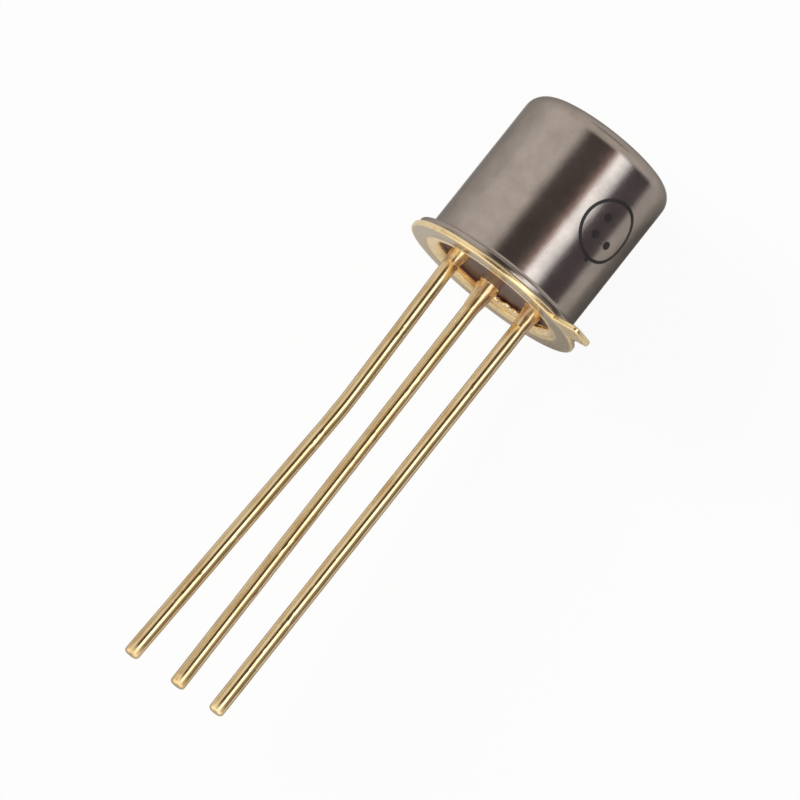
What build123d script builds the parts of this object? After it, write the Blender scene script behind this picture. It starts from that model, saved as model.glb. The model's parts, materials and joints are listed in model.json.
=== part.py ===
from build123d import *
import math
import os

# Bipolar transistor in a small round metal can with three wire leads. Sizes are in millimetres.
# Each piece is first built in the device frame: the origin is the centre of the flange's underside,
# +Z runs up through the cap, the emitter lead is at +X, the base lead at +Y, the collector lead at -X.
# The finished pieces are then laid down as the transistor rests on a flat surface.

# Cap: a drawn nickel cup with a brim that is welded to the header
cap_diameter = 4.70
cap_height = 5.10
cap_wall = 0.25
cap_corner_radius = 0.52
brim_width = 0.31
brim_thickness = 0.17
brim_fillet = 0.16
brim_edge_radius = 0.04

# Header: a stamped shell with a flange, an index tab and a raised platform
header_sheet = 0.17
header_height = 1.00
header_bend = 0.03
header_edge_radius = 0.06
header_to_cap_clearance = 0.07
flange_margin = 0.09
tab_width = 0.90
tab_length = 0.87
tab_corner_radius = 0.12
tab_angle = -45.0

# Leads. Below a bend, a slant leans the lead towards +X and a lean towards +Y, in degrees
lead_diameter = 0.45
pin_circle_diameter = 2.54
post_height = 0.30
lead_tip_radius = 0.05
emitter_lead_length = 13.65
base_lead_length = 13.60
collector_lead_length = 13.85
first_bend_depth = 0.50
first_bend_radius = 8.0
emitter_slant = -0.15
emitter_lean = -0.62
base_slant = 0.44
base_lean = 0.52
collector_slant = 1.47
kink_depth = 5.00
kink_radius = 24.0
collector_slant_after_kink = -2.03

# Glass seal
glass_recess = 0.29
glass_ring = 0.19
glass_creep = 0.06
collar_width = 0.07
collar_height = 0.26
base_collar_height = 0.42

# Chip, its solder preform and the bond wires
chip_size = 0.55
chip_thickness = 0.18
chip_shift = -0.10
preform_margin = 0.06
preform_thickness = 0.03
wire_diameter = 0.05
ball_diameter = 0.13
ball_thickness = 0.05
pad_offset = 0.13
loop_rise = 0.38
loop_radius = 0.12
landing_rise = 0.20

# Densities in grams per cubic millimetre, which settle how the transistor rolls to rest
nickel_density = 0.00890
sealing_alloy_density = 0.00836
glass_density = 0.00260
gold_density = 0.01930
silicon_density = 0.00233

# Sizes that follow from the ones above
cap_radius = cap_diameter / 2
cap_bore_radius = cap_radius - cap_wall
brim_radius = cap_radius + brim_width
brim_top = header_sheet + brim_thickness
flange_radius = brim_radius + flange_margin
cup_radius = cap_bore_radius - header_to_cap_clearance
cup_bore_radius = cup_radius - header_sheet
header_outer_bend = header_sheet + header_bend
platform_underside = header_height - header_sheet
lead_radius = lead_diameter / 2
pin_radius = pin_circle_diameter / 2
sleeve_radius = lead_radius + glass_ring
post_top = header_height + post_height
chip_base = header_height + preform_thickness
chip_top = chip_base + chip_thickness
emitter_place = Vector(pin_radius, 0, 0)
base_place = Vector(0, pin_radius, 0)
collector_place = Vector(-pin_radius, 0, 0)


def section(points, rounds):
    """A flat section in the XZ plane, with each named corner rounded to its own radius."""
    face = Plane.XZ * make_face(Polyline(*points, close=True))
    for corner, radius in rounds:
        place = Vector(corner[0], 0, corner[1])
        nearest = min(face.vertices(), key=lambda vertex: (Vector(vertex) - place).length)
        face = fillet(nearest, radius)
    return face


def cap():
    """The drawn cup, open at the bottom, with its welding brim."""
    top_inside = cap_height - cap_wall
    points = [
        (0, cap_height),
        (cap_radius, cap_height),
        (cap_radius, brim_top),
        (brim_radius, brim_top),
        (brim_radius, header_sheet),
        (cap_bore_radius, header_sheet),
        (cap_bore_radius, top_inside),
        (0, top_inside),
    ]
    rounds = [
        ((cap_radius, cap_height), cap_corner_radius),
        ((cap_radius, brim_top), brim_fillet),
        ((brim_radius, brim_top), brim_edge_radius),
        ((brim_radius, header_sheet), brim_edge_radius),
        ((cap_bore_radius, header_sheet), brim_fillet + brim_thickness),
        ((cap_bore_radius, top_inside), cap_corner_radius - cap_wall),
    ]
    return revolve(section(points, rounds), Axis.Z)


def flange_plate():
    """The flat flange with its index tab, all edges softened."""
    tab_reach = flange_radius + tab_length
    tab = Pos(tab_reach / 2, 0) * Rectangle(tab_reach, tab_width)
    ends = tab.vertices().group_by(Axis.X)[-1]
    tab = fillet(ends, tab_corner_radius)
    outline = Circle(flange_radius) + Rot(0, 0, tab_angle) * tab
    plate = extrude(outline, header_sheet)
    rims = plate.faces().sort_by(Axis.Z)[0].edges() + plate.faces().sort_by(Axis.Z)[-1].edges()
    return fillet(rims, header_edge_radius)


def sleeve_holes():
    """The two holes in the platform that the emitter and base leads pass through."""
    hole = Cylinder(sleeve_radius, header_sheet, align=(Align.CENTER, Align.CENTER, Align.MIN))
    return [Pos(place.X, place.Y, platform_underside) * hole for place in (emitter_place, base_place)]


def header():
    """The header shell: flange, index tab, cup wall and platform in one stamping."""
    join_radius = (cup_bore_radius + header_outer_bend + flange_radius) / 2
    points = [
        (0, header_height),
        (cup_radius, header_height),
        (cup_radius, header_sheet),
        (join_radius, header_sheet),
        (join_radius, 0),
        (cup_bore_radius, 0),
        (cup_bore_radius, platform_underside),
        (0, platform_underside),
    ]
    rounds = [
        ((cup_radius, header_height), header_outer_bend),
        ((cup_radius, header_sheet), header_bend),
        ((cup_bore_radius, 0), header_outer_bend),
        ((cup_bore_radius, platform_underside), header_bend),
    ]
    cup = revolve(section(points, rounds), Axis.Z)
    middle = Cylinder(join_radius, header_sheet, align=(Align.CENTER, Align.CENTER, Align.MIN))
    shell = flange_plate() - middle + cup
    for hole in sleeve_holes():
        shell = shell - hole
    return shell


def collar(place, height):
    """The glass that climbs down a lead below the seal, tangent to the lead where it ends."""
    low = glass_recess - height
    outer = lead_radius + collar_width
    edges = [
        Line((0, 0, low), (lead_radius, 0, low)),
        TangentArc((lead_radius, 0, low), (outer, 0, glass_recess), tangent=(0, 0, 1)),
        Line((outer, 0, glass_recess), (outer, 0, platform_underside)),
        Line((outer, 0, platform_underside), (0, 0, platform_underside)),
        Line((0, 0, platform_underside), (0, 0, low)),
    ]
    return Pos(place.X, place.Y, 0) * revolve(make_face(edges), Axis.Z)


def glass_seal(leads):
    """The glass that fills the header's cup and its two platform holes, and grips the leads."""
    low = glass_recess - glass_creep
    block = section(
        [(0, low), (cup_bore_radius, low), (cup_bore_radius, platform_underside), (0, platform_underside)],
        [((cup_bore_radius, platform_underside), header_bend)],
    )
    recess = section(
        [(0, 0), (cup_bore_radius, 0), (cup_bore_radius, glass_recess), (0, glass_recess)],
        [((cup_bore_radius, glass_recess), glass_creep)],
    )
    glass = revolve(block, Axis.Z) - revolve(recess, Axis.Z)
    for hole in sleeve_holes():
        glass = glass + hole
    glass = glass + collar(emitter_place, collar_height)
    glass = glass + collar(base_place, base_collar_height)
    glass = glass + collar(collector_place, collar_height)
    for lead in leads:
        glass = glass - lead
    return glass


def lead(place, top, length, bends):
    """A round lead from its top end down to its tip. Each bend gives its depth below the flange,
    its radius, and the slant and the lean that the lead has after it."""
    corner = Vector(place.X, place.Y, top)
    route = [corner]
    radii = [radius for depth, radius, slant, lean in bends]
    slopes = [Vector(0, 0, -1)]
    for depth, radius, slant, lean in bends:
        slopes.append(Vector(math.tan(math.radians(slant)), math.tan(math.radians(lean)), -1))
    depths = [depth for depth, radius, slant, lean in bends] + [length]
    for depth, slope in zip(depths, slopes):
        corner = corner + slope * (corner.Z + depth)
        route.append(corner)
    path = FilletPolyline(*route, radius=radii)
    wire = sweep(Plane(route[0], z_dir=(0, 0, -1)) * Circle(lead_radius), path)
    tip = wire.faces().sort_by(Axis.Z)[0]
    return fillet(tip.edges(), lead_tip_radius)


def preform():
    """The thin gold preform that fixes the chip to the platform."""
    side = chip_size + 2 * preform_margin
    slab = Box(side, side, preform_thickness, align=(Align.CENTER, Align.CENTER, Align.MIN))
    return Pos(chip_shift, chip_shift, header_height) * slab


def chip():
    """The silicon chip."""
    block = Box(chip_size, chip_size, chip_thickness, align=(Align.CENTER, Align.CENTER, Align.MIN))
    return Pos(chip_shift, chip_shift, chip_base) * block


def bond_wire(pad, post):
    """A gold wire from a ball on the chip, up in a loop and down to a flat foot on a post."""
    span = post - pad
    along = span.normalized()
    plane = Plane(origin=(pad.X, pad.Y, 0), x_dir=along, z_dir=along.cross(Vector(0, 0, 1)))
    button = Cylinder(ball_diameter / 2, ball_thickness, align=(Align.CENTER, Align.CENTER, Align.MIN))
    ball = Pos(pad.X, pad.Y, chip_top) * button
    foot = Pos(post.X, post.Y, post_top) * button
    foot_middle = post_top + ball_thickness / 2
    crest = post_top + loop_rise
    points = [
        (0, chip_top + ball_thickness / 2),
        (0, crest),
        (span.length - loop_radius, post_top + landing_rise),
        (span.length, foot_middle),
    ]
    route = [plane.from_local_coords(Vector(x, y, 0)) for x, y in points]
    path = FilletPolyline(*route, radius=loop_radius)
    strand = sweep(Plane(path @ 0, z_dir=path % 0) * Circle(wire_diameter / 2), path)
    return ball + strand + foot


def device():
    """All pieces in the device frame, by node name, each with its density."""
    emitter_bends = [(first_bend_depth, first_bend_radius, emitter_slant, emitter_lean)]
    base_bends = [(first_bend_depth, first_bend_radius, base_slant, base_lean)]
    collector_bends = [
        (first_bend_depth, first_bend_radius, collector_slant, 0),
        (kink_depth, kink_radius, collector_slant_after_kink, 0),
    ]
    emitter_lead = lead(emitter_place, post_top, emitter_lead_length, emitter_bends)
    base_lead = lead(base_place, post_top, base_lead_length, base_bends)
    collector_lead = lead(collector_place, platform_underside, collector_lead_length, collector_bends)
    leads = [emitter_lead, base_lead, collector_lead]
    emitter_pad = Vector(chip_shift + pad_offset, chip_shift - pad_offset, 0)
    base_pad = Vector(chip_shift - pad_offset, chip_shift + pad_offset, 0)
    return {
        "cap": (cap(), nickel_density),
        "header": (header(), sealing_alloy_density),
        "glass_seal": (glass_seal(leads), glass_density),
        "emitter_lead": (emitter_lead, sealing_alloy_density),
        "base_lead": (base_lead, sealing_alloy_density),
        "collector_lead": (collector_lead, sealing_alloy_density),
        "chip_preform": (preform(), gold_density),
        "chip": (chip(), silicon_density),
        "emitter_bond_wire": (bond_wire(emitter_pad, emitter_place), gold_density),
        "base_bond_wire": (bond_wire(base_pad, base_place), gold_density),
    }


def centre_of_mass(pieces):
    """The centre of mass of all pieces together."""
    total = 0
    moment = Vector(0, 0, 0)
    for solid, density in pieces.values():
        mass = solid.volume * density
        total = total + mass
        moment = moment + solid.center(CenterOf.MASS) * mass
    return moment * (1 / total)


def rest_roll(pieces):
    """The turn about the can's own axis that brings the centre of mass straight below it."""
    balance = centre_of_mass(pieces)
    return 90 - math.degrees(math.atan2(balance.Y, balance.X))


def rest_location(roll):
    """Where the device lies with its flange rim and the corner of its cap on the surface."""
    rim_height = header_sheet - header_edge_radius
    rim_radius = flange_radius - header_edge_radius
    corner_height = cap_height - cap_corner_radius
    corner_radius = cap_radius - cap_corner_radius
    run = corner_height - rim_height
    drop = rim_radius - corner_radius
    rounding = cap_corner_radius - header_edge_radius
    tilt = math.atan2(drop, run) - math.asin(rounding / math.hypot(run, drop))
    axis = (math.cos(tilt), 0, -math.sin(tilt))
    height = rim_height * math.sin(tilt) + rim_radius * math.cos(tilt) + header_edge_radius
    lying = Plane(origin=(0, 0, height), x_dir=(0, -1, 0), z_dir=axis)
    return lying.location * Rot(0, 0, roll)


def lay_down(pieces):
    """The pieces at rest on the surface, with the middle of their box over the origin."""
    place = rest_location(rest_roll(pieces))
    laid = {name: place * solid for name, (solid, density) in pieces.items()}
    box = Compound(children=[solid.solid() for solid in laid.values()]).bounding_box()
    middle = Pos(-box.center().X, -box.center().Y, 0)
    return middle * place, {name: middle * solid for name, solid in laid.items()}


device_pieces = device()
rest_place, laid_pieces = lay_down(device_pieces)

os.makedirs("parts", exist_ok=True)
for name, solid in laid_pieces.items():
    solid.label = name
    export_step(solid, "parts/" + name + ".step")
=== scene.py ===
import json
import math

import bmesh
import bpy
from mathutils import Matrix, Vector


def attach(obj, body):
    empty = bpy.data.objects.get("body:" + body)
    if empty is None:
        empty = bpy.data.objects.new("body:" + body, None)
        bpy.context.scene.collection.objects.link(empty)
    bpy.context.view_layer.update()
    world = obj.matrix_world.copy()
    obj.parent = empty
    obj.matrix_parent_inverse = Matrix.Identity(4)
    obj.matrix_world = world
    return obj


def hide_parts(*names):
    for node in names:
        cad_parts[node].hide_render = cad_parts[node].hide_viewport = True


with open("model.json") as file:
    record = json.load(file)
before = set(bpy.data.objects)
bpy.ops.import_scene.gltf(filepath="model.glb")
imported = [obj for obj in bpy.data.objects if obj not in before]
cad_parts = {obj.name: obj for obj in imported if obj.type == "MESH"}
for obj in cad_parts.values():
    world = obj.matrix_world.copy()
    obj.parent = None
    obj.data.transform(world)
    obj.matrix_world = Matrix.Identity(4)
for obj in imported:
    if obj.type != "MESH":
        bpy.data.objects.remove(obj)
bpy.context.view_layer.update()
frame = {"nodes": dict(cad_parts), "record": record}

mounts = {mount["name"]: mount for mount in frame["record"]["mounts"]}
seatToEmitter = 135.0  # degrees round the can, from the seating plane's mount to the emitter lead
print("frame loaded")


# The device's own axes: up runs through the cap, side points from the middle to the emitter lead
def deviceAxes():
    capTop = Vector(mounts["cap_top"]["pos_m"])
    up = Vector(mounts["cap_top"]["axis"]).normalized()
    seat = Vector(mounts["seating_plane"]["pos_m"])
    flange = capTop - up * (capTop - seat).dot(up)  # middle of the flange's underside
    toSeat = (seat - flange).normalized()  # this mount lies opposite the two leads' bisector
    across = up.cross(toSeat)
    turn = math.radians(seatToEmitter)
    side = toSeat * math.cos(turn) + across * math.sin(turn)
    return flange, side, up.cross(side), up, (capTop - flange).length * 1000


flange, side, across, up, capHeight = deviceAxes()
capRadius = mounts["cap_wall"]["dims"]["r_mm"]
leadRadius = mounts["base_pin"]["dims"]["r_mm"]
turnToDevice = Matrix((side, across, up)).transposed()
deviceMatrix = Matrix.Translation(flange) @ turnToDevice.to_4x4() @ Matrix.Scale(0.001, 4)

cameraSettings = {
    "tilt": 10.3,  # how far the view looks up under the flange, in degrees
    "turn": 4.3,  # how far it is turned about the can's axis
    "slope": 51.6,  # the can's axis as it is seen, above level
    "distance": 0.150,
    "sensor": 36,
    "viewWidth": 21.6216,  # what the view takes in at the flange, in millimetres
    "flangeRight": 2.457,  # where the flange's middle is seen, right of and above the view's middle
    "flangeAbove": 3.003,
}


def viewAxes():
    tilt = math.radians(cameraSettings["tilt"])
    turn = math.radians(cameraSettings["turn"])
    sideSeen = side * math.cos(turn) - across * math.sin(turn)
    toCamera = up.cross(sideSeen) * -math.cos(tilt) - up * math.sin(tilt)
    along = (up - toCamera * up.dot(toCamera)).normalized()
    return toCamera, along, along.cross(toCamera)


def addCamera():
    toCamera, along, aside = viewAxes()
    slope = math.radians(cameraSettings["slope"])
    right = along * math.cos(slope) + aside * math.sin(slope)
    top = along * math.sin(slope) - aside * math.cos(slope)
    place = flange + toCamera * cameraSettings["distance"]
    aim = flange - (right * cameraSettings["flangeRight"] + top * cameraSettings["flangeAbove"]) * 0.001
    back = (place - aim).normalized()
    right = top.cross(back).normalized()
    top = back.cross(right)
    data = bpy.data.cameras.new("camera")
    data.sensor_width = cameraSettings["sensor"]
    data.lens = cameraSettings["sensor"] * cameraSettings["distance"] * 1000 / cameraSettings["viewWidth"]
    data.clip_start = 0.005
    data.clip_end = 20
    camera = bpy.data.objects.new("camera", data)
    bpy.context.scene.collection.objects.link(camera)
    camera.matrix_world = Matrix.Translation(place) @ Matrix((right, top, back)).transposed().to_4x4()
    bpy.context.scene.camera = camera


addCamera()
print("camera placed")


# Most of a noise lies between these two values
noiseLow = 0.3
noiseHigh = 0.7


# Node helpers
def newMaterial(name):
    material = bpy.data.materials.new(name)
    material.use_nodes = True
    tree = material.node_tree
    tree.nodes.clear()
    return material, tree, tree.nodes.new("ShaderNodeOutputMaterial")


def link(tree, fromSocket, toSocket):
    tree.links.new(fromSocket, toSocket)


# The surface point in device millimetres, so that a pattern follows the can's own axis
def devicePlace(tree, stretch=(1, 1, 1)):
    place = tree.nodes.new("ShaderNodeTexCoord")
    turned = tree.nodes.new("ShaderNodeMapping")
    back = turnToDevice.transposed()
    turned.inputs["Location"].default_value = back @ flange * -1000
    turned.inputs["Rotation"].default_value = back.to_euler()
    turned.inputs["Scale"].default_value = (1000, 1000, 1000)
    link(tree, place.outputs["Object"], turned.inputs["Vector"])
    stretched = tree.nodes.new("ShaderNodeMapping")
    stretched.inputs["Scale"].default_value = stretch
    link(tree, turned.outputs["Vector"], stretched.inputs["Vector"])
    return stretched.outputs["Vector"]


def noise(tree, place, scale, detail=3.0, roughness=0.55, distortion=0.0):
    node = tree.nodes.new("ShaderNodeTexNoise")
    node.inputs["Scale"].default_value = scale
    node.inputs["Detail"].default_value = detail
    node.inputs["Roughness"].default_value = roughness
    node.inputs["Distortion"].default_value = distortion
    link(tree, place, node.inputs["Vector"])
    return node.outputs["Fac"]


def ramp(tree, factor, stops):
    node = tree.nodes.new("ShaderNodeValToRGB")
    elements = node.color_ramp.elements
    while len(elements) < len(stops):
        elements.new(0.5)
    for element, (position, colour) in zip(elements, stops):
        element.position = position
        element.color = (*colour, 1)
    link(tree, factor, node.inputs["Fac"])
    return node.outputs["Color"]


# A soft change from the dark tone to the light one, between two values of the noise
def tones(tree, factor, settings, low=noiseLow, high=noiseHigh):
    return ramp(tree, factor, [(low, settings["dark"]), (high, settings["light"])])


def rescale(tree, value, fromLow, fromHigh, toLow, toHigh):
    node = tree.nodes.new("ShaderNodeMapRange")
    node.inputs["From Min"].default_value = fromLow
    node.inputs["From Max"].default_value = fromHigh
    node.inputs["To Min"].default_value = toLow
    node.inputs["To Max"].default_value = toHigh
    link(tree, value, node.inputs["Value"])
    return node.outputs["Result"]


def calculate(tree, operation, first, second):
    node = tree.nodes.new("ShaderNodeMath")
    node.operation = operation
    for socket, value in zip(node.inputs, (first, second)):
        if isinstance(value, (int, float)):
            socket.default_value = value
        else:
            link(tree, value, socket)
    return node.outputs["Value"]


def bump(tree, height, distance, below=None):
    node = tree.nodes.new("ShaderNodeBump")
    node.inputs["Strength"].default_value = 1.0
    node.inputs["Distance"].default_value = distance
    link(tree, height, node.inputs["Height"])
    if below:
        link(tree, below, node.inputs["Normal"])
    return node.outputs["Normal"]


def principled(tree, output, metallic, roughness=0.5):
    shader = tree.nodes.new("ShaderNodeBsdfPrincipled")
    shader.inputs["Metallic"].default_value = metallic
    shader.inputs["Roughness"].default_value = roughness
    link(tree, shader.outputs["BSDF"], output.inputs["Surface"])
    return shader


# How fine a pattern is, such as a blotch or a grain, is given in patches to a millimetre
nickelSettings = {
    "light": (0.44, 0.385, 0.345),
    "dark": (0.36, 0.31, 0.275),
    "edge": (0.50, 0.50, 0.50),  # how much of the light is kept at a glancing angle
    "roughness": (0.13, 0.21),
    "blotch": 1.6,
    "grain": 24.0,
    "grainStretch": (1, 1, 0.45),
    "grainDepth": 0.0000018,
}


def nickelMaterial():
    material, tree, output = newMaterial("satinNickel")
    shader = principled(tree, output, metallic=1.0)
    shader.inputs["Specular Tint"].default_value = (*nickelSettings["edge"], 1)
    blotch = noise(tree, devicePlace(tree), nickelSettings["blotch"], detail=4.0, roughness=0.6)
    link(tree, tones(tree, blotch, nickelSettings), shader.inputs["Base Color"])
    place = devicePlace(tree, nickelSettings["grainStretch"])
    grain = noise(tree, place, nickelSettings["grain"], detail=4.0, roughness=0.7)
    low, high = nickelSettings["roughness"]
    link(tree, rescale(tree, grain, noiseLow, noiseHigh, low, high), shader.inputs["Roughness"])
    link(tree, bump(tree, grain, nickelSettings["grainDepth"]), shader.inputs["Normal"])
    return material


goldPlateSettings = {
    "light": (0.95, 0.76, 0.44),
    "dark": (0.78, 0.60, 0.34),
    "paintedShade": (0.50, 0.42, 0.30),  # painted shade: the flat underside is darkened to stand for the shadowed floor it reflects
    "paintedShadeFrom": (2.16, 2.24),  # from the can's axis, in millimetres
    "paintedShadeTo": (2.66, 2.72),
    "roughness": (0.20, 0.32),
    "blotch": 2.4,
    "lightFrom": 0.5,
    "grain": 18.0,
    "grainDepth": 0.0000005,
}


# How far the surface point is from the can's axis, in millimetres
def awayFromAxis(tree):
    node = tree.nodes.new("ShaderNodeVectorMath")
    node.operation = "LENGTH"
    link(tree, devicePlace(tree, (1, 1, 0)), node.inputs[0])
    return node.outputs["Value"]


# The second colour is either a plain one or comes from another node
def mixColour(tree, amount, first, second):
    node = tree.nodes.new("ShaderNodeMix")
    node.data_type = "RGBA"
    factorSocket, firstSocket, secondSocket = (node.inputs[index] for index in (0, 6, 7))
    link(tree, amount, factorSocket)
    link(tree, first, firstSocket)
    if isinstance(second, tuple):
        secondSocket.default_value = (*second, 1)
    else:
        link(tree, second, secondSocket)
    return node.outputs[2]


def goldPlateMaterial():
    settings = goldPlateSettings
    material, tree, output = newMaterial("goldPlate")
    shader = principled(tree, output, metallic=1.0)
    place = devicePlace(tree)
    blotch = noise(tree, place, settings["blotch"], detail=5.0, roughness=0.62, distortion=0.6)
    colour = tones(tree, blotch, settings, high=settings["lightFrom"])
    # painted shade: a darker colour on the flange's flat underside, between these two radii, stands in for
    # the shadowed floor that this face reflects
    reach = awayFromAxis(tree)
    inside = rescale(tree, reach, *settings["paintedShadeFrom"], 0, 1)
    outside = rescale(tree, reach, *settings["paintedShadeTo"], 1, 0)
    paintedShade = mixColour(tree, calculate(tree, "MULTIPLY", inside, outside), colour, settings["paintedShade"])
    link(tree, paintedShade, shader.inputs["Base Color"])
    grain = noise(tree, place, settings["grain"], detail=4.0, roughness=0.7)
    low, high = settings["roughness"]
    link(tree, rescale(tree, grain, noiseLow, noiseHigh, low, high), shader.inputs["Roughness"])
    link(tree, bump(tree, grain, settings["grainDepth"]), shader.inputs["Normal"])
    return material


goldLeadSettings = {
    "light": (0.88, 0.70, 0.43),
    "dark": (0.74, 0.53, 0.28),
    "edge": (0.42, 0.40, 0.36),  # how much of the light is kept at a glancing angle
    "roughness": (0.10, 0.18),
    "blotch": 3.2,
    "blotchStretch": (1, 1, 0.35),
    "darkTo": 0.34,
    "lightFrom": 0.55,
    "drawn": 26.0,  # fine lines along the wire, from drawing it
    "drawnStretch": (1, 1, 0.06),
    "drawnDepth": 0.0000004,
    "nicks": 2.6,
    "nickStretch": (1, 1, 0.5),
    "nickFrom": (0.62, 0.72),
    "nickDepth": 0.000005,
}


def goldLeadMaterial():
    settings = goldLeadSettings
    material, tree, output = newMaterial("goldLead")
    shader = principled(tree, output, metallic=1.0)
    shader.inputs["Specular Tint"].default_value = (*settings["edge"], 1)
    place = devicePlace(tree, settings["blotchStretch"])
    blotch = noise(tree, place, settings["blotch"], detail=4.0, roughness=0.6)
    colour = tones(tree, blotch, settings, settings["darkTo"], settings["lightFrom"])
    link(tree, colour, shader.inputs["Base Color"])
    low, high = settings["roughness"]
    link(tree, rescale(tree, blotch, noiseLow, noiseHigh, high, low), shader.inputs["Roughness"])
    place = devicePlace(tree, settings["drawnStretch"])
    drawn = noise(tree, place, settings["drawn"], detail=3.0, roughness=0.6)
    normal = bump(tree, drawn, settings["drawnDepth"])
    place = devicePlace(tree, settings["nickStretch"])
    nicks = noise(tree, place, settings["nicks"], detail=2.0, roughness=0.5)
    nicks = rescale(tree, nicks, *settings["nickFrom"], 0, 1)
    link(tree, bump(tree, nicks, settings["nickDepth"], below=normal), shader.inputs["Normal"])
    return material


glassSettings = {
    "light": (0.13, 0.050, 0.048),
    "dark": (0.040, 0.013, 0.014),
    "roughness": 0.30,
    "refraction": 1.30,
    "shine": 0.25,
    "cloud": 1.8,
    "wave": 1.3,
    "waveDepth": 0.000012,
}


def glassMaterial():
    material, tree, output = newMaterial("sealGlass")
    shader = principled(tree, output, metallic=0.0, roughness=glassSettings["roughness"])
    place = devicePlace(tree)
    cloud = noise(tree, place, glassSettings["cloud"], detail=4.0, roughness=0.6)
    link(tree, tones(tree, cloud, glassSettings), shader.inputs["Base Color"])
    shader.inputs["IOR"].default_value = glassSettings["refraction"]
    shader.inputs["Specular IOR Level"].default_value = glassSettings["shine"]
    wave = noise(tree, place, glassSettings["wave"], detail=2.0, roughness=0.5)
    link(tree, bump(tree, wave, glassSettings["waveDepth"]), shader.inputs["Normal"])
    return material


# The fine metals of the small pieces: each has a soft change of tone
plainMetals = {
    "goldSolder": {
        "light": (0.80, 0.62, 0.32),
        "dark": (0.62, 0.45, 0.20),
        "cloud": 14.0,
        "roughness": 0.42,
    },
    "bondGold": {
        "light": (0.92, 0.72, 0.34),
        "dark": (0.82, 0.60, 0.26),
        "cloud": 20.0,
        "roughness": 0.2,
    },
    "paleGold": {
        "light": (0.98, 0.88, 0.62),
        "dark": (0.80, 0.62, 0.36),
        "cloud": 7.0,
        "roughness": 0.24,
    },
}
plainMetalDepth = 0.0000008


def plainMetal(name):
    settings = plainMetals[name]
    material, tree, output = newMaterial(name)
    shader = principled(tree, output, metallic=1.0, roughness=settings["roughness"])
    cloud = noise(tree, devicePlace(tree), settings["cloud"], detail=4.0, roughness=0.6)
    link(tree, tones(tree, cloud, settings), shader.inputs["Base Color"])
    link(tree, bump(tree, cloud, plainMetalDepth), shader.inputs["Normal"])
    return material


siliconSettings = {
    "light": (0.30, 0.31, 0.36),
    "dark": (0.10, 0.11, 0.15),
    "lightTo": 0.2,
    "darkFrom": 0.6,
    "cells": 9.0,
}


def siliconMaterial():
    settings = siliconSettings
    material, tree, output = newMaterial("siliconChip")
    shader = principled(tree, output, metallic=0.6, roughness=0.12)
    cells = tree.nodes.new("ShaderNodeTexVoronoi")
    cells.distance = "CHEBYCHEV"
    cells.inputs["Scale"].default_value = settings["cells"]
    link(tree, devicePlace(tree), cells.inputs["Vector"])
    stops = [(settings["lightTo"], settings["light"]), (settings["darkFrom"], settings["dark"])]
    link(tree, ramp(tree, cells.outputs["Distance"], stops), shader.inputs["Base Color"])
    return material


nickel = nickelMaterial()
goldPlate = goldPlateMaterial()
goldLead = goldLeadMaterial()
glass = glassMaterial()
goldSolder = plainMetal("goldSolder")
bondGold = plainMetal("bondGold")
silicon = siliconMaterial()
finishes = {
    "cap": nickel,
    "header": goldPlate,
    "glass_seal": glass,
    "emitter_lead": goldLead,
    "base_lead": goldLead,
    "collector_lead": goldLead,
    "chip_preform": goldSolder,
    "chip": silicon,
    "emitter_bond_wire": bondGold,
    "base_bond_wire": bondGold,
}
for node, material in finishes.items():
    frame["nodes"][node].data.materials.clear()
    frame["nodes"][node].data.materials.append(material)
print("materials made")


# Modelling helpers. Pieces are shaped upright in device millimetres, then laid in place by placePiece
tolerance = 0.001
cornerAngle = 1.0  # an edge whose faces turn by more than this, in radians, is a corner


# One vertex at the device origin, in edit mode, to draw an outline from
def startPiece(name):
    bpy.ops.object.select_all(action="DESELECT")
    bpy.ops.mesh.primitive_plane_add(size=1)
    piece = bpy.context.object
    piece.name = name
    bpy.ops.object.mode_set(mode="EDIT")
    bpy.context.tool_settings.mesh_select_mode = (True, False, False)
    bpy.ops.mesh.select_all(action="SELECT")
    bpy.ops.mesh.merge(type="COLLAPSE")
    return piece


# Selects the vertices, edges or faces whose middle passes the test, and returns how many
def selectWhere(piece, kind, test):
    order = ("verts", "edges", "faces")
    bpy.context.tool_settings.mesh_select_mode = tuple(kind == name for name in order)
    bpy.ops.mesh.select_all(action="DESELECT")
    bm = bmesh.from_edit_mesh(piece.data)
    count = 0
    for element in list(getattr(bm, kind)):
        if kind == "verts":
            middle = element.co
        elif kind == "edges":
            middle = (element.verts[0].co + element.verts[1].co) / 2
        else:
            middle = element.calc_center_median()
        if test(element, middle):
            element.select_set(True)
            count += 1
    bm.select_flush_mode()
    bmesh.update_edit_mesh(piece.data)
    return count


# Draws the outline in the XZ plane by extruding the vertex from corner to corner, and fills it
def drawOutline(piece, points):
    here = Vector((points[0][0], 0, points[0][1]))
    bpy.ops.transform.translate(value=here)
    for x, z in points[1:]:
        there = Vector((x, 0, z))
        bpy.ops.mesh.extrude_region_move(TRANSFORM_OT_translate={"value": there - here})
        here = there
    bpy.ops.mesh.select_all(action="SELECT")
    bpy.ops.mesh.edge_face_add()


def roundCorners(piece, rounds, segments=8):
    for (x, z), radius in rounds:
        corner = Vector((x, 0, z))
        selectWhere(piece, "verts", lambda vertex, middle: (middle - corner).length < 4 * tolerance)
        bpy.ops.mesh.bevel(offset=radius, segments=segments, affect="VERTICES")


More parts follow.
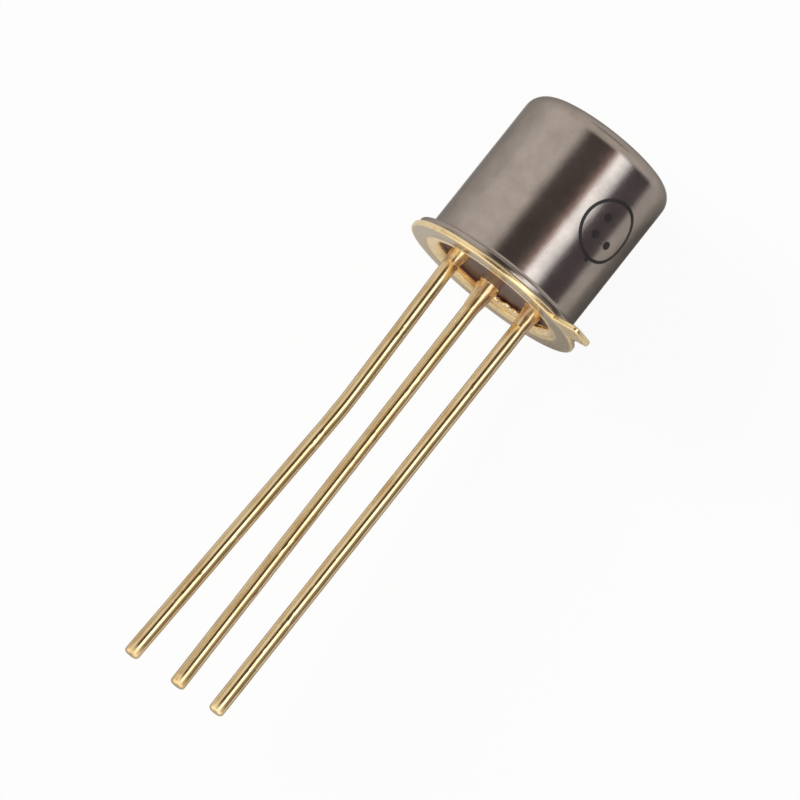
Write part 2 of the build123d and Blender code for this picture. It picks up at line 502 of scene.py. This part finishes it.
# Turns the outline into a closed round body
def spinRound(piece, steps):
    bpy.context.tool_settings.mesh_select_mode = (False, False, True)
    bpy.ops.mesh.select_all(action="SELECT")
    bpy.ops.mesh.delete(type="ONLY_FACE")

    def onAxis(edge, middle):
        return all(abs(end.co.x) < tolerance / 10 for end in edge.verts)

    if selectWhere(piece, "edges", onAxis):
        bpy.ops.mesh.delete(type="EDGE")
    bpy.context.tool_settings.mesh_select_mode = (True, False, False)
    bpy.ops.mesh.select_all(action="SELECT")
    bpy.ops.mesh.spin(steps=steps, angle=math.tau, center=(0, 0, 0), axis=(0, 0, 1))
    bpy.ops.mesh.select_all(action="SELECT")
    bpy.ops.mesh.remove_doubles(threshold=tolerance / 5)
    bpy.ops.mesh.normals_make_consistent(inside=False)


def turnedPiece(name, points, rounds, steps=192, segments=8):
    piece = startPiece(name)
    drawOutline(piece, points)
    roundCorners(piece, rounds, segments)
    spinRound(piece, steps)
    return piece


def applyModifier(piece, name, kind, **values):
    bpy.ops.object.select_all(action="DESELECT")
    piece.select_set(True)
    bpy.context.view_layer.objects.active = piece
    modifier = piece.modifiers.new(name, kind)
    for key, value in values.items():
        setattr(modifier, key, value)
    bpy.ops.object.modifier_apply(modifier=modifier.name)


def cutAway(piece, cutters):
    for cutter in cutters:
        applyModifier(piece, "cut", "BOOLEAN", operation="DIFFERENCE", solver="EXACT", object=cutter)
        bpy.data.objects.remove(cutter)


# Lays a finished piece where it belongs on the device, with its place in its mesh
def placePiece(piece, material, turned=0.0, replaced=(), smoothAngle=35):
    if bpy.context.mode == "EDIT_MESH":
        bpy.ops.object.mode_set(mode="OBJECT")
    bpy.ops.object.select_all(action="DESELECT")
    piece.select_set(True)
    bpy.context.view_layer.objects.active = piece
    piece.matrix_world = deviceMatrix @ Matrix.Rotation(math.radians(turned), 4, "Z") @ piece.matrix_world
    bpy.ops.object.transform_apply(location=True, rotation=True, scale=True)
    bpy.ops.object.shade_smooth_by_angle(angle=math.radians(smoothAngle))
    piece.data.materials.clear()
    piece.data.materials.append(material)
    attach(piece, "root")
    if replaced:
        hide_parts(*replaced)
    return piece


def unevenTexture(name, size):
    texture = bpy.data.textures.new(name, "CLOUDS")
    texture.noise_scale = size
    texture.noise_depth = 2
    return texture


capSize = {
    "wall": 0.25,
    "cornerRadius": 0.52,
    "brimRadius": 2.66,
    "brimBase": 0.17,
    "brimTop": 0.34,
    "brimFillet": 0.16,
    "brimEdge": 0.04,
}


def makeCap():
    size = capSize
    bore = capRadius - size["wall"]
    ceiling = capHeight - size["wall"]
    points = [
        (0, capHeight),
        (capRadius, capHeight),
        (capRadius, size["brimTop"]),
        (size["brimRadius"], size["brimTop"]),
        (size["brimRadius"], size["brimBase"]),
        (bore, size["brimBase"]),
        (bore, ceiling),
        (0, ceiling),
    ]
    rounds = [
        ((capRadius, capHeight), size["cornerRadius"]),
        ((capRadius, size["brimTop"]), size["brimFillet"]),
        ((size["brimRadius"], size["brimTop"]), size["brimEdge"]),
        ((size["brimRadius"], size["brimBase"]), size["brimEdge"]),
        ((bore, size["brimBase"]), size["brimFillet"]),
        ((bore, ceiling), size["cornerRadius"] - size["wall"]),
    ]
    cap = turnedPiece("drawnCap", points, rounds)
    return placePiece(cap, nickel, replaced=("cap",))


headerSize = {
    "sheet": 0.17,
    "height": 1.00,
    "cupRadius": 2.03,
    "flangeRadius": 2.75,
    "bend": 0.03,
    "edge": 0.055,
    "tabReach": 3.62,
    "tabCorner": 0.18,
    "tabAngle": -45.0,
    "tabSteps": 5,  # half the tab's width, in steps of the round
    "tabSpare": 0.1,  # a little more, to be sure of the last step
    "steps": 192,
    "grooveRadius": 2.13,  # a fine crease where the bend of the cup begins
    "grooveWidth": 0.03,
    "grooveDepth": 0.018,
    "sleeveRadius": 0.415,
    "sleeveDepth": 0.5,
    "pinRadius": 1.27,
}


def makeHeader():
    size = headerSize
    inner = size["cupRadius"] - size["sheet"]
    outerBend = size["sheet"] + size["bend"]
    underside = size["height"] - size["sheet"]
    groove = size["grooveRadius"]
    points = [
        (0, size["height"]),
        (size["cupRadius"], size["height"]),
        (size["cupRadius"], size["sheet"]),
        (size["flangeRadius"], size["sheet"]),
        (size["flangeRadius"], 0),
        (groove + size["grooveWidth"], 0),
        (groove, size["grooveDepth"]),
        (groove - size["grooveWidth"], 0),
        (inner, 0),
        (inner, underside),
        (0, underside),
    ]
    rounds = [
        ((size["cupRadius"], size["height"]), outerBend),
        ((size["cupRadius"], size["sheet"]), size["bend"]),
        ((inner, 0), outerBend),
        ((inner, underside), size["bend"]),
    ]
    header = turnedPiece("stampedHeader", points, rounds, size["steps"])
    halfAngle = math.tau / size["steps"] * (size["tabSteps"] + size["tabSpare"])

    def onRim(middle):
        return math.hypot(middle.x, middle.y) > size["flangeRadius"] - 10 * tolerance

    def onTabRim(face, middle):
        return onRim(middle) and abs(math.atan2(middle.y, middle.x)) < halfAngle

    selectWhere(header, "faces", onTabRim)
    bpy.ops.mesh.extrude_region_move(
        TRANSFORM_OT_translate={"value": (size["tabReach"] - size["flangeRadius"], 0, 0)})
    bpy.ops.transform.resize(value=(0, 1, 1), center_override=(size["tabReach"], 0, 0))
    reach = size["tabReach"]
    # one plain face on each side of the tab, so that its corners can be rounded
    selectWhere(header, "faces", lambda face, middle: middle.x > size["flangeRadius"])
    bpy.ops.mesh.dissolve_limited(angle_limit=10 * tolerance)

    def tabEndCorner(edge, middle):
        ends = [end.co for end in edge.verts]
        upright = abs(ends[0].z - ends[1].z) > size["sheet"] / 2
        return upright and middle.x > reach - tolerance and edge.calc_face_angle(0) > cornerAngle

    selectWhere(header, "edges", tabEndCorner)
    bpy.ops.mesh.bevel(offset=size["tabCorner"], segments=6, affect="EDGES")

    def flangeEdge(edge, middle):
        level = min(abs(middle.z), abs(middle.z - size["sheet"])) < tolerance
        return level and onRim(middle) and edge.calc_face_angle(0) > cornerAngle

    selectWhere(header, "edges", flangeEdge)
    bpy.ops.mesh.bevel(offset=size["edge"], segments=5, affect="EDGES")
    bpy.ops.object.mode_set(mode="OBJECT")
    # the two sleeve holes; the mesh is still turned so that the tab lies along +X
    cutters = []
    for angle in (0, 90):
        place = math.radians(angle - size["tabAngle"])
        bpy.ops.mesh.primitive_cylinder_add(
            vertices=64, radius=size["sleeveRadius"], depth=size["sleeveDepth"],
            location=(
                math.cos(place) * size["pinRadius"], math.sin(place) * size["pinRadius"], size["height"]))
        cutters.append(bpy.context.object)
    cutAway(header, cutters)
    return placePiece(header, goldPlate, turned=size["tabAngle"], replaced=("header",))


sealSize = {
    "radius": 1.86,
    "recess": 0.29,
    "creep": 0.07,  # how far the glass climbs down the cup's wall
    "creepFrom": 1.62,
    "creepSteps": 8,
    "creepPower": 2.6,
    "flatRings": (0, 1.0, 1.45),
    "edge": 0.02,
    "corner": 0.03,
    "top": 0.83,
}


def makeSeal():
    size = sealSize
    low = size["recess"] - size["creep"]
    points = [(radius, size["recess"]) for radius in size["flatRings"]]
    for step in range(1, size["creepSteps"] + 1):
        part = step / size["creepSteps"]
        radius = size["creepFrom"] + (size["radius"] - size["creepFrom"]) * part
        points.append((radius, size["recess"] - size["creep"] * part ** size["creepPower"]))
    points += [(size["radius"], low + size["edge"]), (size["radius"], size["top"]), (0, size["top"])]
    seal = turnedPiece("sealGlass", points, [((size["radius"], size["top"]), size["corner"])], steps=160)
    bpy.ops.object.mode_set(mode="OBJECT")
    cutters = []
    for x, y in leadPlaces.values():
        bpy.ops.mesh.primitive_cylinder_add(vertices=48, radius=leadRadius, depth=3, location=(x, y, 0))
        cutters.append(bpy.context.object)
    cutAway(seal, cutters)
    return placePiece(seal, glass, replaced=("glass_seal",))


pinRadius = headerSize["pinRadius"]
leadPlaces = {
    "emitter": (pinRadius, 0),
    "base": (0, pinRadius),
    "collector": (-pinRadius, 0),
}
# each foot: how far down the lead it runs, its radius at the glass, how full its side is
footSizes = {
    "emitter": {"low": -0.34, "radius": 0.31, "power": 1.3},
    "base": {"low": -0.60, "radius": 0.35, "power": 1.2},
    "collector": {"low": -0.16, "radius": 0.29, "power": 1.4},
}


footShape = {
    "sunk": 0.05,  # how far the foot goes into the glass
    "lip": 0.02,
    "inside": 0.01,  # how far it goes into the lead
    "lift": 0.002,
    "steps": 12,
    "sides": 72,
    "grain": 0.22,
    "unevenness": 0.022,
}


# The flared gold feet where the leads come out of the glass
def makeFeet():
    shape = footShape
    for name, (x, y) in leadPlaces.items():
        size = footSizes[name]
        high = sealSize["recess"]
        low = size["low"]
        flare = size["radius"] - leadRadius
        inner = leadRadius - shape["inside"]
        points = [(inner, high + shape["sunk"]), (size["radius"] + shape["lip"], high + shape["sunk"])]
        for step in range(shape["steps"] + 1):
            part = step / shape["steps"]
            radius = leadRadius + shape["lift"] + flare * (1 - part) ** size["power"]
            points.append((radius, high - (high - low) * part))
        points.append((inner, low))
        foot = turnedPiece(name + "Foot", points, [], shape["sides"])
        bpy.ops.mesh.select_all(action="SELECT")
        bpy.ops.transform.translate(value=(x, y, 0))
        bpy.ops.object.mode_set(mode="OBJECT")
        applyModifier(foot, "uneven", "DISPLACE", texture=unevenTexture(name + "FootUneven", shape["grain"]),
                      strength=shape["unevenness"], mid_level=0.5)
        placePiece(foot, goldFoot, smoothAngle=60)


leadSize = {
    "bend": 0.50,  # depth of the first bend below the flange
    "postTop": 1.30,
    "collectorTop": 0.83,
    "kinkStart": 4.27,
    "kinkEnd": 5.73,
    "kinkSteps": 8,
    "stretchStep": 0.45,
    "tipBeyond": 0.05,  # from the end of the straight length to the very tip
    "tipRadius": 0.11,
    "sides": 48,
    "grain": 0.5,
    "unevenness": 0.010,
}


def toDevice(point):
    return deviceMatrix.inverted() @ Vector(point)


# The middles of the rings from the lead's top to its tip, found from the mount on its straight length
def leadRoute(name):
    mount = mounts[name + "_pin"]
    middle = toDevice(mount["pos_m"])
    axis = (turnToDevice.transposed() @ Vector(mount["axis"])).normalized()
    if axis.z > 0:
        axis = -axis
    tip = middle + axis * (mount["dims"]["length_mm"] / 2 + leadSize["tipBeyond"])
    x, y = leadPlaces[name]
    top = leadSize["collectorTop"] if name == "collector" else leadSize["postTop"]
    bend = Vector((x, y, -leadSize["bend"]))
    route = [Vector((x, y, top)), Vector((x, y, (top - leadSize["bend"]) / 2)), bend]
    if name == "collector":
        corner = kinkCorner(middle, axis)
        halfKink = (leadSize["kinkEnd"] - leadSize["kinkStart"]) / 2
        start = corner + (bend - corner).normalized() * halfKink
        end = corner + axis * halfKink
        route = addStretch(route, start)
        for step in range(1, leadSize["kinkSteps"] + 1):
            part = step / leadSize["kinkSteps"]
            route.append(start.lerp(corner, part).lerp(corner.lerp(end, part), part))
    return addStretch(route, tip)


# Where the straight length, carried back up, comes level with the kink
def kinkCorner(middle, axis):
    depth = -(leadSize["kinkStart"] + leadSize["kinkEnd"]) / 2
    return middle + axis * ((depth - middle.z) / axis.z)


def addStretch(route, end):
    start = route[-1]
    count = max(1, round((end - start).length / leadSize["stretchStep"]))
    return route + [start.lerp(end, (index + 1) / count) for index in range(count)]


def makeLeads():
    for name in leadPlaces:
        route = leadRoute(name)
        bpy.ops.object.select_all(action="DESELECT")
        bpy.ops.mesh.primitive_circle_add(
            vertices=leadSize["sides"], radius=leadRadius, location=route[0], fill_type="NGON")
        lead = bpy.context.object
        lead.name = name + "Wire"
        bpy.ops.object.mode_set(mode="EDIT")
        bpy.context.tool_settings.mesh_select_mode = (False, False, True)
        bpy.ops.mesh.select_all(action="SELECT")
        for here, there in zip(route, route[1:]):
            bpy.ops.mesh.extrude_region_move(TRANSFORM_OT_translate={"value": there - here})
        bpy.context.tool_settings.mesh_select_mode = (False, True, False)
        bpy.ops.mesh.bevel(offset=leadSize["tipRadius"], segments=4, affect="EDGES")
        bpy.ops.mesh.select_all(action="SELECT")
        bpy.ops.mesh.normals_make_consistent(inside=False)
        bpy.ops.object.mode_set(mode="OBJECT")
        bpy.ops.object.transform_apply(location=True, rotation=True, scale=True)
        texture = unevenTexture(name + "WireUneven", leadSize["grain"])
        applyModifier(lead, "uneven", "DISPLACE", texture=texture,
                      strength=leadSize["unevenness"], mid_level=0.5)
        placePiece(lead, goldLead, replaced=(name + "_lead",))


runOutSize = {
    "from": 28.0,  # along the far side of the cup, in degrees from the emitter lead
    "to": 84.0,
    "ringRadius": 1.80,
    "thickness": 0.125,
    "height": 0.225,
    "unevenness": 0.10,
    "grain": 0.13,
}


# The uneven bead of pale plating that has run along the far side, between glass and cup
def makeRunOut():
    size = runOutSize
    bpy.ops.object.select_all(action="DESELECT")
    bpy.ops.mesh.primitive_torus_add(
        major_radius=size["ringRadius"], minor_radius=size["thickness"],
        major_segments=320, minor_segments=24, location=(0, 0, size["height"]))
    bead = bpy.context.object
    bead.name = "platingRunOut"
    bpy.ops.object.transform_apply(location=True, rotation=True, scale=True)
    bpy.ops.object.mode_set(mode="EDIT")
    for angle, sign in ((size["from"], 1), (size["to"], -1)):
        turn = math.radians(angle)
        bpy.ops.mesh.select_all(action="SELECT")
        bpy.ops.mesh.bisect(
            plane_co=(0, 0, 0), plane_no=(math.sin(turn) * sign, -math.cos(turn) * sign, 0),
            use_fill=True, clear_outer=True)
    bpy.ops.mesh.select_all(action="SELECT")
    bpy.ops.mesh.normals_make_consistent(inside=False)
    bpy.ops.object.mode_set(mode="OBJECT")
    applyModifier(bead, "lobes", "DISPLACE", texture=unevenTexture("runOutLobes", size["grain"]),
                  strength=size["unevenness"], mid_level=0.55)
    placePiece(bead, paleGold, smoothAngle=180)


markSize = {
    "angle": -54.5,  # about the can, from the emitter lead
    "height": 2.86,
    "ringRadius": 0.87,
    "line": 0.095,
    "dotRadius": 0.12,
    "pinRing": 0.40,
    "dotsTurned": 135.0,  # brings the emitter's dot to where its lead is, seen from the tick
    "tickLength": 0.14,
    "lift": 0.002,
    "thickness": 0.004,
}


# The printed mark: a ring with three dots in the leads' places and a tick where the tab is
def makeMark():
    size = markSize
    bpy.ops.object.select_all(action="DESELECT")
    bpy.ops.mesh.primitive_circle_add(
        vertices=96, radius=size["ringRadius"] + size["line"] / 2, fill_type="NGON")
    mark = bpy.context.object
    mark.name = "printedMark"
    bpy.ops.object.mode_set(mode="EDIT")
    bpy.context.tool_settings.mesh_select_mode = (False, False, True)
    bpy.ops.mesh.select_all(action="SELECT")
    bpy.ops.mesh.inset(thickness=size["line"])
    bpy.ops.mesh.delete(type="FACE")
    for angle in (0, 90, 180):
        place = math.radians(angle + size["dotsTurned"])
        bpy.ops.mesh.primitive_circle_add(
            vertices=32, radius=size["dotRadius"], fill_type="TRIFAN",
            location=(math.cos(place) * size["pinRing"], math.sin(place) * size["pinRing"], 0))
    tick = (0, -size["ringRadius"] - size["tickLength"] / 2, 0)
    bpy.ops.mesh.primitive_plane_add(size=1, location=tick)
    bpy.ops.transform.resize(value=(size["line"], size["tickLength"], 1), center_override=tick)
    bpy.ops.object.mode_set(mode="OBJECT")
    # wrap the flat print round the can
    lift = capRadius + size["lift"]
    around = math.radians(size["angle"])
    for vertex in mark.data.vertices:
        turn = around + vertex.co.x / capRadius
        vertex.co = (math.cos(turn) * lift, math.sin(turn) * lift, size["height"] + vertex.co.y)
    applyModifier(mark, "ink", "SOLIDIFY", thickness=size["thickness"], offset=1)
    placePiece(mark, ink)


inkSettings = {
    "light": (0.014, 0.010, 0.011),
    "dark": (0.006, 0.004, 0.005),
    "cloud": 12.0,
    "depth": 0.000002,
}


def inkMaterial():
    material, tree, output = newMaterial("blackInk")
    shader = principled(tree, output, metallic=0.0, roughness=0.5)
    cloud = noise(tree, devicePlace(tree), inkSettings["cloud"], detail=4.0, roughness=0.6)
    link(tree, tones(tree, cloud, inkSettings), shader.inputs["Base Color"])
    link(tree, bump(tree, cloud, inkSettings["depth"]), shader.inputs["Normal"])
    return material


goldFootSettings = {
    "light": (0.84, 0.64, 0.38),
    "dark": (0.56, 0.34, 0.20),
    "roughness": 0.20,
    "cloud": 3.5,
    "cloudStretch": (1, 1, 0.4),
    "darkTo": 0.38,
    "lightFrom": 0.6,
    "depth": 0.000006,
}


def goldFootMaterial():
    settings = goldFootSettings
    material, tree, output = newMaterial("goldFoot")
    shader = principled(tree, output, metallic=1.0, roughness=settings["roughness"])
    place = devicePlace(tree, settings["cloudStretch"])
    cloud = noise(tree, place, settings["cloud"], detail=4.0, roughness=0.6)
    colour = tones(tree, cloud, settings, settings["darkTo"], settings["lightFrom"])
    link(tree, colour, shader.inputs["Base Color"])
    link(tree, bump(tree, cloud, settings["depth"]), shader.inputs["Normal"])
    return material


ink = inkMaterial()
goldFoot = goldFootMaterial()
paleGold = plainMetal("paleGold")
makeCap()
print("cap made")
makeHeader()
print("header made")
makeSeal()
makeFeet()
makeRunOut()
print("seal, lead feet and run-out made")
makeLeads()
print("leads made")
makeMark()
print("mark made")


# Studio: a pale floor, a soft lamp and a light tent whose bands show in the metal
tentSettings = {
    "radius": 0.060,
    "halfAngle": 150.0,  # how far the tent reaches round each side from the view direction
    "length": 0.30,
    "sides": 180,
    # degrees round the tent from left to right, and the light that the can's wall gets from there
    "wallBands": [
        (-150, (0.60, 0.58, 0.56)),
        (-84, (0.92, 0.89, 0.86)),
        (-37, (0.92, 0.89, 0.86)),
        (-24, (0.11, 0.09, 0.09)),
        (10, (0.09, 0.07, 0.07)),
        (19, (0.50, 0.28, 0.24)),
        (25, (2.30, 2.42, 2.50)),
        (40, (1.60, 1.70, 1.80)),
        (49, (0.12, 0.10, 0.12)),
        (78, (0.12, 0.10, 0.12)),
        (92, (0.24, 0.22, 0.21)),
        (150, (0.30, 0.28, 0.27)),
    ],
    # the same for the leads
    "leadBands": [
        (-150, (0.16, 0.15, 0.13)),
        (-80, (0.55, 0.52, 0.47)),
        (-50, (0.84, 0.80, 0.73)),
        (-34, (0.80, 0.75, 0.68)),
        (-22, (0.09, 0.065, 0.045)),
        (4, (0.08, 0.06, 0.04)),
        (12, (2.20, 2.30, 2.20)),
        (33, (1.80, 1.85, 1.80)),
        (43, (0.34, 0.31, 0.27)),
        (66, (0.30, 0.27, 0.24)),
        (80, (0.13, 0.11, 0.09)),
        (150, (0.10, 0.08, 0.07)),
    ],
    "above": (0.80, 0.76, 0.72),  # beyond the can's top
    "below": (1.20, 1.16, 1.05),  # beyond the lead tips
    # where each light fades in, in degrees up from the flange
    "wallFades": (8.4, 10.4),
    "aboveFades": (24, 36),
    "belowFades": (-11, -20),
}


# A sheet bent round the can's axis that only reflections see
def lightTent():
    settings = tentSettings
    bpy.ops.object.select_all(action="DESELECT")
    bpy.ops.mesh.primitive_cylinder_add(
        vertices=settings["sides"], radius=settings["radius"], depth=settings["length"],
        end_fill_type="NOTHING")
    tent = bpy.context.object
    tent.name = "lightTent"
    toCamera, along, aside = viewAxes()
    away = (toCamera - up * toCamera.dot(up)).normalized()
    axes = Matrix((away.cross(up), away, up)).transposed()
    bm = bmesh.new()
    bm.from_mesh(tent.data)
    limit = math.cos(math.radians(settings["halfAngle"])) * settings["radius"]
    lost = [face for face in bm.faces if face.calc_center_median().y < limit]
    bmesh.ops.delete(bm, geom=lost, context="FACES")
    span = 2 * settings["halfAngle"]
    layer = bm.loops.layers.uv.new("round")
    for face in bm.faces:
        for loop in face.loops:
            angle = math.degrees(math.atan2(-loop.vert.co.x, loop.vert.co.y))
            loop[layer].uv = (angle / span + 0.5, loop.vert.co.z / settings["length"] + 0.5)
    bm.to_mesh(tent.data)
    bm.free()
    tent.matrix_world = Matrix.Translation(flange) @ axes.to_4x4()
    tent.data.materials.append(tentCloth(span))
    tent.visible_camera = False
    tent.visible_diffuse = False
    tent.visible_shadow = False


def tentCloth(span):
    settings = tentSettings
    material, tree, output = newMaterial("tentCloth")
    uv = tree.nodes.new("ShaderNodeUVMap")
    uv.uv_map = "round"
    split = tree.nodes.new("ShaderNodeSeparateXYZ")
    link(tree, uv.outputs["UV"], split.inputs["Vector"])
    banded = {}
    for kind in ("wallBands", "leadBands"):
        stops = [(angle / span + 0.5, colour) for angle, colour in settings[kind]]
        banded[kind] = ramp(tree, split.outputs["X"], stops)
    reach = settings["radius"] / settings["length"]

    def atAngle(degrees):
        return 0.5 + math.tan(math.radians(degrees)) * reach

    # the leads reflect the lower stretch, the can's wall the upper one
    mixed = banded["leadBands"]
    lights = {"wall": banded["wallBands"], "above": settings["above"], "below": settings["below"]}
    for name, light in lights.items():
        start, end = settings[name + "Fades"]
        amount = rescale(tree, split.outputs["Y"], atAngle(start), atAngle(end), 0, 1)
        mixed = mixColour(tree, amount, mixed, light)
    glow = tree.nodes.new("ShaderNodeEmission")
    link(tree, mixed, glow.inputs["Color"])
    link(tree, glow.outputs["Emission"], output.inputs["Surface"])
    return material


floorSettings = {
    "size": 3.0,
    "colour": (0.78, 0.76, 0.74),
    "whiten": 0.94,  # how much of its own white the floor shows to the camera
}


def addFloor():
    bpy.ops.object.select_all(action="DESELECT")
    bpy.ops.mesh.primitive_plane_add(size=floorSettings["size"], location=(0, 0, 0))
    floor = bpy.context.object
    floor.name = "floor"
    material, tree, output = newMaterial("paleFloor")
    diffuse = tree.nodes.new("ShaderNodeBsdfDiffuse")
    diffuse.inputs["Color"].default_value = (*floorSettings["colour"], 1)
    glow = tree.nodes.new("ShaderNodeEmission")
    path = tree.nodes.new("ShaderNodeLightPath")
    both = tree.nodes.new("ShaderNodeMixShader")
    seen = calculate(tree, "MULTIPLY", path.outputs["Is Camera Ray"], floorSettings["whiten"])
    link(tree, seen, both.inputs["Fac"])
    link(tree, diffuse.outputs["BSDF"], both.inputs[1])
    link(tree, glow.outputs["Emission"], both.inputs[2])
    link(tree, both.outputs["Shader"], output.inputs["Surface"])
    floor.data.materials.append(material)


lampSettings = {"power": 2.0, "size": 0.20, "distance": 0.45, "height": 32.0}


def addLamp():
    data = bpy.data.lights.new("keyLamp", "AREA")
    data.shape = "DISK"
    data.size = lampSettings["size"]
    data.energy = lampSettings["power"]
    lamp = bpy.data.objects.new("keyLamp", data)
    bpy.context.scene.collection.objects.link(lamp)
    toCamera, along, aside = viewAxes()
    level = (aside * -1 - Vector((0, 0, -aside.z))).normalized()
    height = math.radians(lampSettings["height"])
    toLamp = level * math.cos(height) + Vector((0, 0, math.sin(height)))
    lamp.location = flange + toLamp * lampSettings["distance"]
    lamp.rotation_euler = toLamp.to_track_quat("Z", "Y").to_euler()
    lamp.visible_glossy = False


worldSettings = {"colour": (1.0, 0.99, 0.98), "light": 0.42, "seen": 1.0}


def addWorld():
    world = bpy.data.worlds.new("softSky")
    bpy.context.scene.world = world
    world.use_nodes = True
    tree = world.node_tree
    path = tree.nodes.new("ShaderNodeLightPath")
    background = tree.nodes["Background"]
    background.inputs["Color"].default_value = (*worldSettings["colour"], 1)
    cameraRay = path.outputs["Is Camera Ray"]
    strength = rescale(tree, cameraRay, 0, 1, worldSettings["light"], worldSettings["seen"])
    link(tree, strength, background.inputs["Strength"])


lightTent()
addFloor()
addLamp()
addWorld()
bpy.context.scene.view_settings.view_transform = "Standard"
print("studio made")
